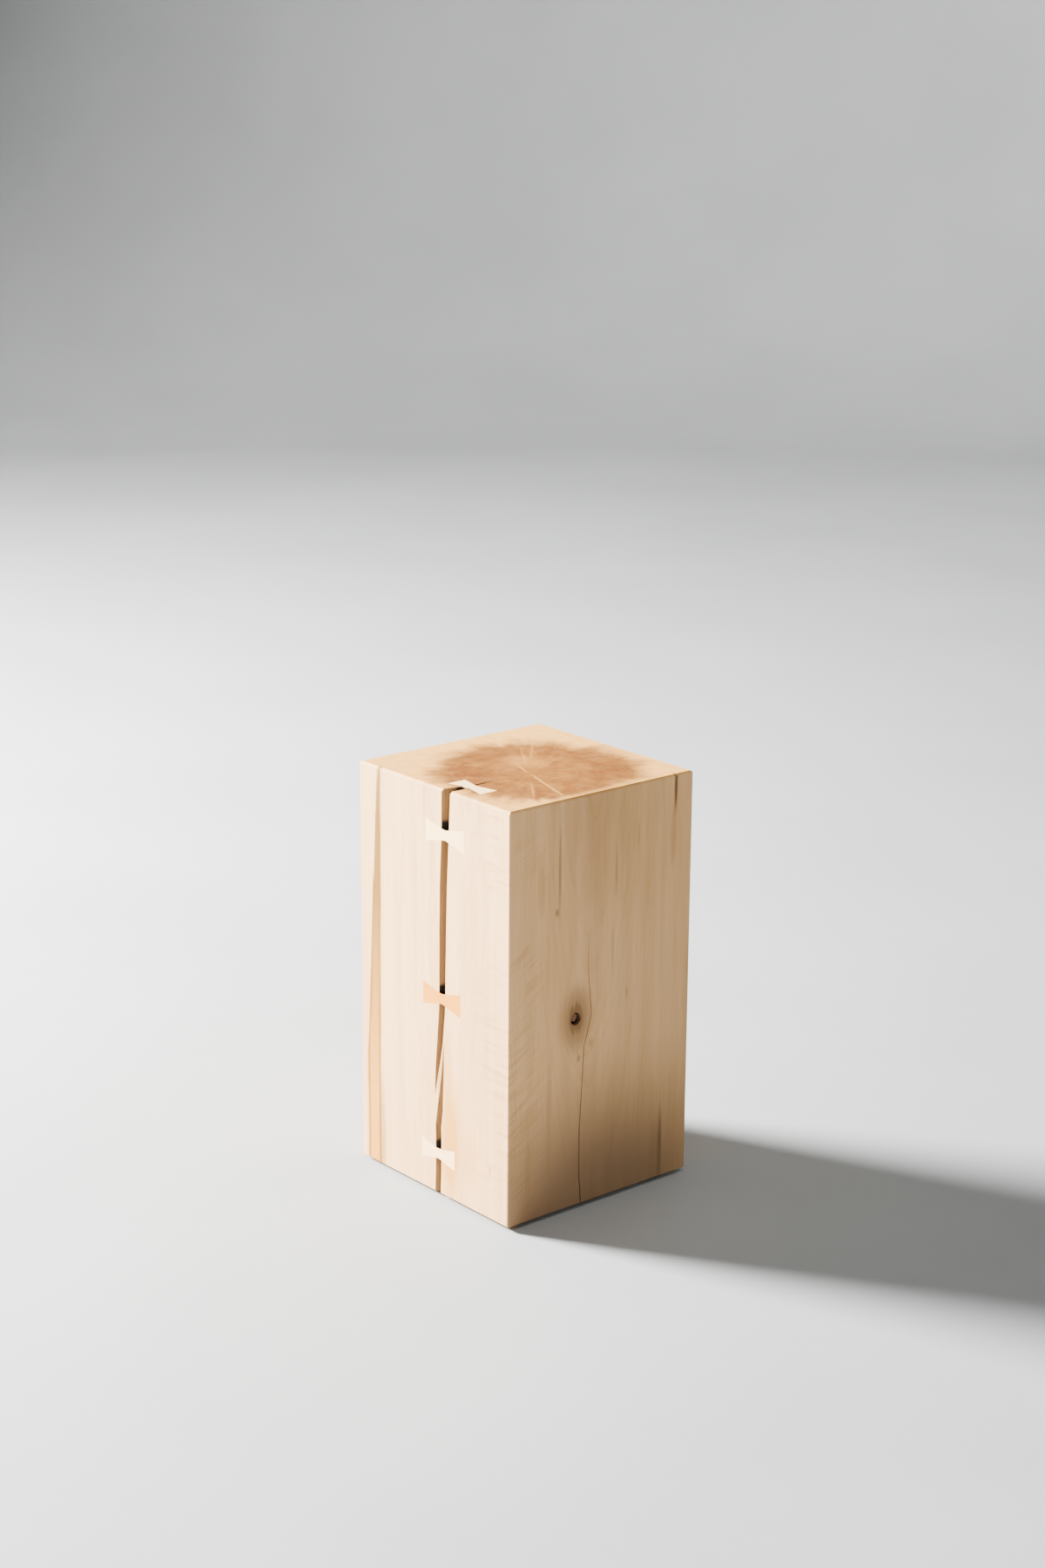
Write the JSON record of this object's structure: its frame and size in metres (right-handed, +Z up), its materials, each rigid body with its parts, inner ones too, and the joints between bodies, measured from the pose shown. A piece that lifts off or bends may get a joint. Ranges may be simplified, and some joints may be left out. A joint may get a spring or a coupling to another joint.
{
  "type": "solid timber block side table",
  "caption": "Solid square timber block used as a low side table or stool; a full-height drying check is tied by inlaid butterfly keys, and it stands on low nail-on glides.",
  "frame": {"origin": "on the floor under the middle of the block", "axes": "+Z up; the keyed front face looks along -Y and the face with the knot along +X"},
  "size_m": [0.254, 0.254, 0.4612],
  "materials": {
    "block_timber": "satin",
    "pale_key_wood": "satin",
    "warm_key_wood": "satin",
    "glide_plastic": "matte",
    "nail_steel": "satin"
  },
  "bodies": {
    "root": {"timber_block": "block_timber", "upper_key": "pale_key_wood", "middle_key": "warm_key_wood", "lower_key": "pale_key_wood", "top_key": "pale_key_wood", "front_left_glide": "glide_plastic", "front_right_glide": "glide_plastic", "rear_left_glide": "glide_plastic", "rear_right_glide": "glide_plastic", "glide_nails": "nail_steel"}
  },
  "joints": []
}
